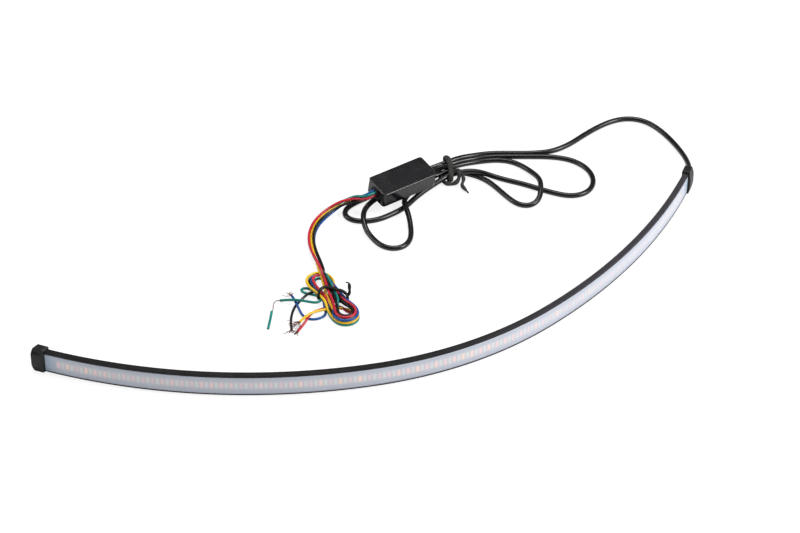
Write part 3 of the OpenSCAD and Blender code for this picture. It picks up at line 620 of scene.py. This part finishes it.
# The green wire's bare strands stay together: each winds round one route, at its own angle
def boundStrands(name, route, k):
    line = smoothLine(fromRoute(route), k["fine"])
    u = np.linspace(0, lengthOf(line), len(line))
    side, top = squareTo(unit(np.gradient(line, axis=0)))
    parts, offset = [], 0
    for n in range(k["count"]):
        turn = (u / k["winding"] + 2 * np.pi * n / k["count"])[:, None]
        strand = line + k["out"] * (np.cos(turn) * side + np.sin(turn) * top)
        parts.append(tubePart(strand, k["radius"], k["sides"], offset))
        offset += len(parts[-1][0])
    return joined(name, parts)


greenStrand = boundStrands("greenStrand", strandRoute, bound)
greenOffcut = tubePiece("greenOffcut", smoothLine(fromRoute(offcut["route"]), offcut["fine"]),
                        wires["diameter"] / 2000, offcut["sides"])
print("copper")

# What each piece stands for, and the slot that it takes its finish from
for piece, nodeName, slotName in [
        (cablePiece, "light_cable", "cable_jacket"), (channelPiece, "channel", "channel"),
        (diffuserPiece, "diffuser", "diffuser"), (leftCap, "left_end_cap", "end_cap"),
        (rightCap, "right_end_cap", "end_cap"), (boxCover, "box_shell", "box_plastic"),
        (cableTiePiece, "cable_tie", "cable_tie"), (wireTiePiece, "wire_tie", "wire_tie"),
        (greenStrand, "bare_strand", "copper"), (greenOffcut, "green_offcut", "green_insulation"),
        *[(piece, "copper_ends", "copper") for piece in copperPieces.values()]]:
    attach(piece, "root")
    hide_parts(nodeName)
    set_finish(piece, slotName)
for colour, piece in wirePieces.items():
    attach(piece, "root")
    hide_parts(colour + "_wire", colour + "_tail", "wire_hank")
    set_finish(piece, colour + "_insulation")

for colour, piece in wirePieces.items():
    line = wireLines[colour]


def newGroup(name, inputs, outputs):
    tree = bpy.data.node_groups.new(name, "ShaderNodeTree")
    for label, kind, value in inputs:
        socket = tree.interface.new_socket(label, in_out="INPUT", socket_type="NodeSocket" + kind)
        if value is not None:
            socket.default_value = value
    for label, kind in outputs:
        tree.interface.new_socket(label, in_out="OUTPUT", socket_type="NodeSocket" + kind)
    return tree, tree.nodes.new("NodeGroupInput").outputs, tree.nodes.new("NodeGroupOutput").inputs


def setInputs(tree, made, inputs):
    for key, value in inputs.items():
        if isinstance(value, bpy.types.NodeSocket):
            tree.links.new(value, made.inputs[key])
        else:
            made.inputs[key].default_value = value
    return made


def put(tree, kind, inputs=None, **settings):
    made = tree.nodes.new("ShaderNode" + kind)
    for key, value in settings.items():
        setattr(made, key, value)
    return setInputs(tree, made, inputs or {})


def maths(tree, operation, *values, clamp=False):
    return put(tree, "Math", dict(enumerate(values)), operation=operation, use_clamp=clamp).outputs[0]


def product(tree, first, *others):
    for other in others:
        first = maths(tree, "MULTIPLY", first, other)
    return first


def ranged(tree, value, low, high, toLow=0.0, toHigh=1.0, smooth=True):
    made = put(tree, "MapRange", {"Value": value, "From Min": low, "From Max": high,
                                  "To Min": toLow, "To Max": toHigh},
               interpolation_type="SMOOTHSTEP" if smooth else "LINEAR")
    return made.outputs["Result"]


def blended(tree, factor, a, b):
    return put(tree, "Mix", {0: factor, 6: a, 7: b}, data_type="RGBA").outputs[2]


def noise(tree, place, scale, detail=2.0, roughness=0.5):
    return put(tree, "TexNoise", {"Vector": place, "Scale": scale, "Detail": detail,
                                  "Roughness": roughness}).outputs[0]


# A colour of 0 to 255 as the linear one that Blender reads
def srgb(*colour):
    shares = [c / 255 for c in colour]
    return (*[c / 12.92 if c <= 0.04045 else ((c + 0.055) / 1.055) ** 2.4 for c in shares], 1.0)


# Scales are in grains or patches to the metre, and pairs say where a noise starts and ends to count
grainLook = dict(detail=3.0, roughness=0.6, shadeScale=0.03)
rubbedLook = dict(detail=5.0, roughness=0.62, patch=(0.42, 0.78), dulling=1.4)
streakLook = dict(girth=1.6, scale=2.2, detail=4.0, roughness=0.55, shadeScale=0.8)


# Fine spark-eroded grain, with a slow change of shade over it
def makeGrain(k):
    tree, given, out = newGroup("mouldedGrain", [("Place", "Vector", None), ("Grains", "Float", 2500.0)],
                                [("Height", "Float"), ("Shade", "Float")])
    place, grains = given["Place"], given["Grains"]
    tree.links.new(noise(tree, place, grains, k["detail"], k["roughness"]), out["Height"])
    tree.links.new(noise(tree, place, product(tree, grains, k["shadeScale"])), out["Shade"])
    return tree


# Rubbed and dusty places: the colour moves to the dust's and the surface dulls where it lies
def makeRubbed(k):
    tree, given, out = newGroup(
        "rubbedPlaces",
        [("Place", "Vector", None), ("Colour", "Color", None), ("Dust", "Color", (0.5, 0.5, 0.5, 1)),
         ("Amount", "Float", 0.2), ("Roughness", "Float", 0.4), ("Size", "Float", 90.0)],
        [("Colour", "Color"), ("Roughness", "Float")])
    cloud = noise(tree, given["Place"], given["Size"], k["detail"], k["roughness"])
    amount = product(tree, ranged(tree, cloud, *k["patch"]), given["Amount"])
    dulling = product(tree, amount, k["dulling"])
    tree.links.new(blended(tree, amount, given["Colour"], given["Dust"]), out["Colour"])
    tree.links.new(maths(tree, "ADD", given["Roughness"], dulling, clamp=True), out["Roughness"])
    return tree


# Drawn plastic: long faint streaks, from noise over the cord's length and the circle of its girth
def makeStreaks(k):
    tree, given, out = newGroup("drawnStreaks", [("Surface", "Vector", None), ("Along", "Float", 60.0)],
                                [("Height", "Float"), ("Shade", "Float")])
    split = put(tree, "SeparateXYZ", {0: given["Surface"]}).outputs
    turn = product(tree, split["Y"], 2 * math.pi)
    place = put(tree, "CombineXYZ", {"X": product(tree, split["X"], given["Along"]),
                                     "Y": product(tree, maths(tree, "COSINE", turn), k["girth"]),
                                     "Z": product(tree, maths(tree, "SINE", turn), k["girth"])}).outputs[0]
    tree.links.new(noise(tree, place, k["scale"], k["detail"], k["roughness"]), out["Height"])
    tree.links.new(noise(tree, place, k["shadeScale"]), out["Shade"])
    return tree


grainGroup, rubbedGroup, streakGroup = (makeGrain(grainLook), makeRubbed(rubbedLook),
                                        makeStreaks(streakLook))


def newFinish(name, **constants):
    material = bpy.data.materials.new(name)
    material.use_nodes = True
    tree = material.node_tree
    tree.nodes.clear()
    shader = tree.nodes.new("ShaderNodeBsdfPrincipled")
    for key, value in constants.items():
        shader.inputs[key].default_value = value
    tree.links.new(shader.outputs[0], tree.nodes.new("ShaderNodeOutputMaterial").inputs[0])
    return material, tree, shader


def placed(tree, group, inputs):
    made = tree.nodes.new("ShaderNodeGroup")
    made.node_tree = group
    return setInputs(tree, made, inputs).outputs


def bumped(tree, shader, height, distance, strength=1.0):
    bump = put(tree, "Bump", {"Height": height, "Distance": distance, "Strength": strength})
    tree.links.new(bump.outputs[0], shader.inputs["Normal"])


def worn(tree, shader, place, colour, k, roughness, dust, size):
    rubbed = placed(tree, rubbedGroup, {"Place": place, "Colour": colour, "Dust": srgb(*k["dust"]),
                                        "Amount": dust, "Roughness": roughness, "Size": size})
    tree.links.new(rubbed["Colour"], shader.inputs["Base Color"])
    tree.links.new(rubbed["Roughness"], shader.inputs["Roughness"])


mouldedLook = dict(
    shade=(0.35, 0.7), dust=(120, 118, 122),
    # Painted light: the channel is made lighter towards the right end, where it leans back into the light
    paintedLightAcross=(0.02, 0.19),             # where along X the paler colour starts and is full, in metres
    # Painted shade: how far above its height the darkening starts, how much of the way it goes, and its
    # nearly black colour
    paintedShadeDepth=0.7, paintedShadeShare=0.6, paintedShadeColour=(0.001, 0.001, 0.0014, 1),
)


# Moulded rubber or plastic, for rigid pieces. One with a paler colour takes that on towards the right, as
# painted light, and is darkened towards nearly black below the height that it is given, in millimetres, as
# painted shade
def mouldedFinish(name, colour, pale, roughness, grains, depth, dust, specular, size=90.0,
                  paintedShadeUnder=None, paintedLight=None):
    k = mouldedLook
    material, tree, shader = newFinish(name, **{"Specular IOR Level": specular})
    place = put(tree, "TexCoord").outputs["Object"]
    grain = placed(tree, grainGroup, {"Place": place, "Grains": grains})
    shade = blended(tree, ranged(tree, grain["Shade"], *k["shade"]), srgb(*colour), srgb(*pale))
    if paintedLight:
        axes = put(tree, "SeparateXYZ", {0: place}).outputs
        # Painted light: lighter towards the right end, where the channel leans back into the light
        shade = blended(tree, ranged(tree, axes["X"], *k["paintedLightAcross"]), shade, srgb(*paintedLight))
        # Painted shade: darkened towards nearly black below the top lip's front edge
        low = ranged(tree, axes["Z"], (paintedShadeUnder + k["paintedShadeDepth"]) / 1000, paintedShadeUnder / 1000)
        shade = blended(tree, product(tree, low, k["paintedShadeShare"]), shade, k["paintedShadeColour"])
    worn(tree, shader, place, shade, k, roughness, dust, size)
    bumped(tree, shader, grain["Height"], depth)
    return material


insulationLook = dict(shade=(0.3, 0.7), dust=(150, 146, 142), dustShare=0.03, size=140.0,
                      depth=0.00001, strength=0.15)


# Extruded insulation, for cords
def insulationFinish(name, colour, deep, roughness=0.3, specular=0.4):
    k = insulationLook
    material, tree, shader = newFinish(name, **{"Specular IOR Level": specular})
    coords = put(tree, "TexCoord").outputs
    lengthwise = placed(tree, streakGroup, {"Surface": coords["UV"]})
    shade = blended(tree, ranged(tree, lengthwise["Shade"], *k["shade"]), srgb(*colour), srgb(*deep))
    worn(tree, shader, coords["Object"], shade, k, roughness, k["dustShare"], k["size"])
    bumped(tree, shader, lengthwise["Height"], k["depth"], k["strength"])
    return material


# The frosted face. Heights, halves and edges are in millimetres, shares are of the way to a colour,
# and pairs say where a change starts and ends
frost = dict(
    specular=0.4, coat=0.12, coatRoughness=0.25,
    face=srgb(190, 195, 206), edge=srgb(164, 182, 198), band=srgb(202, 204, 210),
    pink=srgb(252, 217, 215), peach=srgb(252, 222, 208), cream=srgb(224, 225, 222),
    # Painted shadow of the top lip: the bluish grey that the face darkens towards just under the lip
    lengthwise=srgb(178, 186, 198), cloud=srgb(190, 192, 204),
    rowHeight=8.9, rowHalf=3.0,          # of the row of lamps as it shows through the face
    rowEdge=(0.9, -1.6), bandEdge=(2.0, -0.8),
    glare=(0.5, 0.85), glareLeft=0.3,    # in the strip's length, where the lamps fade to this
    faintest=0.45, pinkWave=(-0.3, 1.05), creamWave=(-0.1, -0.8), peachChance=(0.55, 0.9),
    litFrom=0.5, litPast=2.0, rowFrom=(-2.0, -1.0),
    bandShare=0.6, creamShare=0.8,
    # Painted shadow of the top lip: a band across the face just under the lip
    lipShadowHeight=14.2, lipShadowHalf=(1.5, 0.2), lipShadowShare=0.55,
    cloudScale=45.0, cloudDetail=3.0, cloudEdge=(0.3, 0.7), cloudShare=0.16, roughness=(0.34, 0.5),
    grains=1800.0, depth=0.00002,
)


# What shows of the lamps through the frosted face. Along the strip a cosine peaks at every second
# lamp and dips at the others between; across it a soft band holds the row's height
def frostedFinish(k, s):
    material, tree, shader = newFinish("frostedSilicone", **{
        "Specular IOR Level": k["specular"], "Coat Weight": k["coat"],
        "Coat Roughness": k["coatRoughness"]})
    coords = put(tree, "TexCoord").outputs
    split = put(tree, "SeparateXYZ", {0: coords["UV"]}).outputs
    along, height = product(tree, split["X"], 1000.0), product(tree, split["Y"], 1000.0)
    lamp = maths(tree, "DIVIDE", maths(tree, "SUBTRACT", along, s["lampMargin"]), s["lampPitch"])
    wave = maths(tree, "COSINE", product(tree, lamp, math.pi))
    number = maths(tree, "FLOOR", maths(tree, "ADD", lamp, 0.5))
    chance = put(tree, "TexWhiteNoise", {"W": number}, noise_dimensions="1D").outputs["Value"]
    off = maths(tree, "ABSOLUTE", maths(tree, "SUBTRACT", height, k["rowHeight"]))
    row, wideRow = (ranged(tree, off, *[k["rowHalf"] + edge for edge in k[edges]])
                    for edges in ("rowEdge", "bandEdge"))
    glare = ranged(tree, along, *[s["length"] * share for share in k["glare"]], 1.0, k["glareLeft"])
    strength = product(tree, ranged(tree, chance, 0.0, 1.0, k["faintest"], 1.0, False), glare)
    pinkSpot = product(tree, ranged(tree, wave, *k["pinkWave"]), row, strength)
    creamSpot = product(tree, ranged(tree, wave, *k["creamWave"]), row, glare)
    fromEnd = maths(tree, "MINIMUM", along, maths(tree, "SUBTRACT", s["length"], along))
    lit = ranged(tree, fromEnd, s["capReach"] + k["litFrom"], s["lampMargin"] + k["litPast"])
    within = ranged(tree, fromEnd, *[s["lampMargin"] + past for past in k["rowFrom"]])
    colour = blended(tree, lit, k["edge"], k["face"])
    colour = blended(tree, product(tree, wideRow, k["bandShare"], within), colour, k["band"])
    colour = blended(tree, product(tree, creamSpot, k["creamShare"], within), colour, k["cream"])
    # Painted shadow of the top lip: the face darkens towards a bluish grey just under the lip
    lengthwise = maths(tree, "ABSOLUTE", maths(tree, "SUBTRACT", height, k["lipShadowHeight"]))
    lipShadowed = ranged(tree, lengthwise, *k["lipShadowHalf"], 0.0, k["lipShadowShare"])
    colour = blended(tree, lipShadowed, colour, k["lengthwise"])
    warm = blended(tree, ranged(tree, chance, *k["peachChance"]), k["pink"], k["peach"])
    colour = blended(tree, product(tree, pinkSpot, within), colour, warm)
    cloud = noise(tree, coords["Object"], k["cloudScale"], k["cloudDetail"])
    colour = blended(tree, ranged(tree, cloud, *k["cloudEdge"], 0.0, k["cloudShare"]), colour, k["cloud"])
    tree.links.new(colour, shader.inputs["Base Color"])
    tree.links.new(ranged(tree, cloud, *k["cloudEdge"], *k["roughness"]), shader.inputs["Roughness"])
    grain = placed(tree, grainGroup, {"Place": coords["Object"], "Grains": k["grains"]})
    bumped(tree, shader, grain["Height"], k["depth"])
    return material


metalLook = dict(scale=900.0, detail=3.0, shade=(0.35, 0.7), dulled=(0.3, 0.7), duller=0.25, depth=0.00003)


def metalFinish(name, colour, dark, roughness=0.35):
    k = metalLook
    material, tree, shader = newFinish(name, Metallic=1.0)
    cloud = noise(tree, put(tree, "TexCoord").outputs["Object"], k["scale"], k["detail"])
    shade = blended(tree, ranged(tree, cloud, *k["shade"]), srgb(*colour), srgb(*dark))
    dulled = ranged(tree, cloud, *k["dulled"], roughness, roughness + k["duller"])
    tree.links.new(shade, shader.inputs["Base Color"])
    tree.links.new(dulled, shader.inputs["Roughness"])
    bumped(tree, shader, cloud, k["depth"])
    return material


# Each moulded slot: colour, paler colour, roughness, grains to the metre, their depth, dust, specular
moulded = {
    "channel": ("blackSilicone", (15, 14, 16), (23, 22, 25), 0.55, 2200.0, 0.00003, 0.04, 0.22),
    "end_cap": ("capRubber", (15, 15, 17), (22, 22, 24), 0.46, 1800.0, 0.00004, 0.05, 0.3),
    "grommet": ("grommetRubber", (22, 22, 24), (30, 30, 32), 0.6, 1500.0, 0.00004, 0.1, 0.25),
    "box_plastic": ("boxPlastic", (11, 10, 14), (15, 14, 18), 0.22, 3200.0, 0.000004, 0.02, 0.5),
    "cable_tie": ("tieRubber", (38, 39, 37), (52, 53, 50), 0.6, 1400.0, 0.00005, 0.08, 0.3),
    "wire_tie": ("thinTieRubber", (22, 19, 18), (32, 28, 26), 0.5, 1600.0, 0.00004, 0.06, 0.3),
    "flex_board": ("whiteBoard", (226, 224, 216), (236, 234, 228), 0.4, 1200.0, 0.00002, 0.05, 0.4),
    "red_lamps": ("redLampBody", (228, 170, 164), (236, 186, 176), 0.3, 900.0, 0.00001, 0.0, 0.5),
    "amber_lamps": ("amberLampBody", (236, 222, 176), (240, 228, 190), 0.3, 900.0, 0.00001, 0.0, 0.5),
    "chip_resistors": ("resistorBody", (26, 26, 28), (38, 38, 40), 0.4, 3000.0, 0.00001, 0.0, 0.4),
    "adhesive_tape": ("foamTape", (128, 130, 134), (150, 152, 156), 0.8, 1700.0, 0.00012, 0.1, 0.2),
    "tape_liner": ("linerFilm", (186, 58, 52), (200, 72, 62), 0.3, 120.0, 0.00006, 0.1, 0.45),
    "circuit_board": ("boardMask", (34, 96, 62), (44, 116, 74), 0.35, 700.0, 0.00004, 0.05, 0.5),
    "chip_plastic": ("chipPlastic", (30, 30, 32), (40, 40, 43), 0.5, 3200.0, 0.00003, 0.05, 0.35),
}
# The channel is painted lighter towards its right end, as painted light, and darker on its front below the
# top lip, as painted shade
mouldedExtras = {"channel": dict(paintedShadeUnder=16.9, paintedLight=(52, 50, 55)), "tape_liner": dict(size=25.0)}
# Each wire's colour, and the deeper one of its streaks
insulated = dict(
    red=((205, 44, 62), (176, 30, 50)), black=((11, 11, 13), (18, 18, 20)),
    yellow=((246, 204, 44), (226, 178, 26)), blue=((0, 88, 166), (4, 62, 128)),
    green=((10, 142, 130), (8, 112, 104)),
)
finishes = {slotName: mouldedFinish(*k, **mouldedExtras.get(slotName, {}))
            for slotName, k in moulded.items()}
for colour, shades in insulated.items():
    finishes[colour + "_insulation"] = insulationFinish(colour + "Insulation", *shades)
finishes["cable_jacket"] = insulationFinish("cableJacket", (10, 10, 12), (16, 16, 18), roughness=0.27,
                                            specular=0.5)
finishes["copper"] = metalFinish("bareCopper", (150, 104, 86), (84, 52, 46))
finishes["capacitor_can"] = metalFinish("capacitorCan", (178, 180, 184), (140, 142, 148), roughness=0.3)
finishes["diffuser"] = frostedFinish(frost, strip)


# A CAD node keeps its number of material places, and one without any gets one. The hank's own slot
# has no finish, because the five wires replace it
slotOf = {entry["node"]: entry["material_slot"] for entry in frame["record"]["subparts"]}
for nodeName, cadPiece in frame["nodes"].items():
    finish, places = finishes.get(slotOf[nodeName]), cadPiece.data.materials
    if finish:
        for k in range(len(places)):
            places[k] = finish
        if not places:
            places.append(finish)
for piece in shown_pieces():
    if "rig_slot" in piece:
        piece.data.materials.clear()
        piece.data.materials.append(finishes[piece["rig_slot"]])
print("finishes")

# Lamps look at aim; ambient and mirrored are the world's strength as light and in a reflection
studio = dict(
    key=dict(at=(1.46, -0.42, 1.16), size=0.7, power=27.0),
    fill=dict(at=(-1.5, 0.1, 0.8), size=0.7, power=7.0),
    top=dict(at=(0.1, 0.55, 1.6), size=0.8, power=13.0),
    aim=(0.0, 0.02, 0.0), ambient=0.30, mirrored=0.13,
    floor=srgb(244, 244, 246), floorHalf=6, glow=0.72, glowStrength=1.14,
)


def softBox(name, at, size, power):
    data = bpy.data.lights.new(name, "AREA")
    data.shape, data.size, data.energy = "SQUARE", size, power
    lamp = bpy.data.objects.new(name, data)
    scene.collection.objects.link(lamp)
    lamp.location = at
    x, y, z = np.array(studio["aim"]) - np.array(at)
    yaw, lean = math.atan2(x, -y), math.atan2(-z, math.hypot(x, y))
    lamp.rotation_euler = (math.pi / 2 - lean, 0, math.pi + yaw)


for name in ("key", "fill", "top"):
    softBox(name + "Light", **studio[name])


# White where the camera looks straight or through something; the second value is for reflections
def seenWhite(tree):
    path = put(tree, "LightPath").outputs
    return maths(tree, "MAXIMUM", path["Is Camera Ray"], path["Is Transmission Ray"]), path["Is Glossy Ray"]


world = bpy.data.worlds.new("studioWorld")
scene.world = world
world.use_nodes = True
sky = world.node_tree
sky.nodes.clear()
straight, glossy = seenWhite(sky)
reflected = ranged(sky, glossy, 0, 1, studio["ambient"], studio["mirrored"], False)
ground = put(sky, "Background", {"Color": (1, 1, 1, 1)})
sky.links.new(maths(sky, "MAXIMUM", straight, reflected), ground.inputs["Strength"])
sky.links.new(ground.outputs[0], put(sky, "OutputWorld").inputs[0])

half = studio["floorHalf"]
floorCorners = [(-half, -half, 0), (half, -half, 0), (half, half, 0), (-half, half, 0)]
floorPiece = newPiece("studioFloor", floorCorners, [(0, 1, 2, 3)], smooth=False)
floorMaterial = bpy.data.materials.new("paleFloor")
floorMaterial.use_nodes = True
floorTree = floorMaterial.node_tree
floorTree.nodes.clear()
paint = put(floorTree, "BsdfDiffuse", {"Color": studio["floor"]})
glow = put(floorTree, "Emission", {"Color": (1, 1, 1, 1), "Strength": studio["glowStrength"]})
seen = product(floorTree, seenWhite(floorTree)[0], studio["glow"])
mixed = put(floorTree, "MixShader", {0: seen, 1: paint.outputs[0], 2: glow.outputs[0]})
floorTree.links.new(mixed.outputs[0], put(floorTree, "OutputMaterial").inputs[0])
floorPiece.data.materials.append(floorMaterial)
scene.view_settings.view_transform = "Standard"
print("studio")
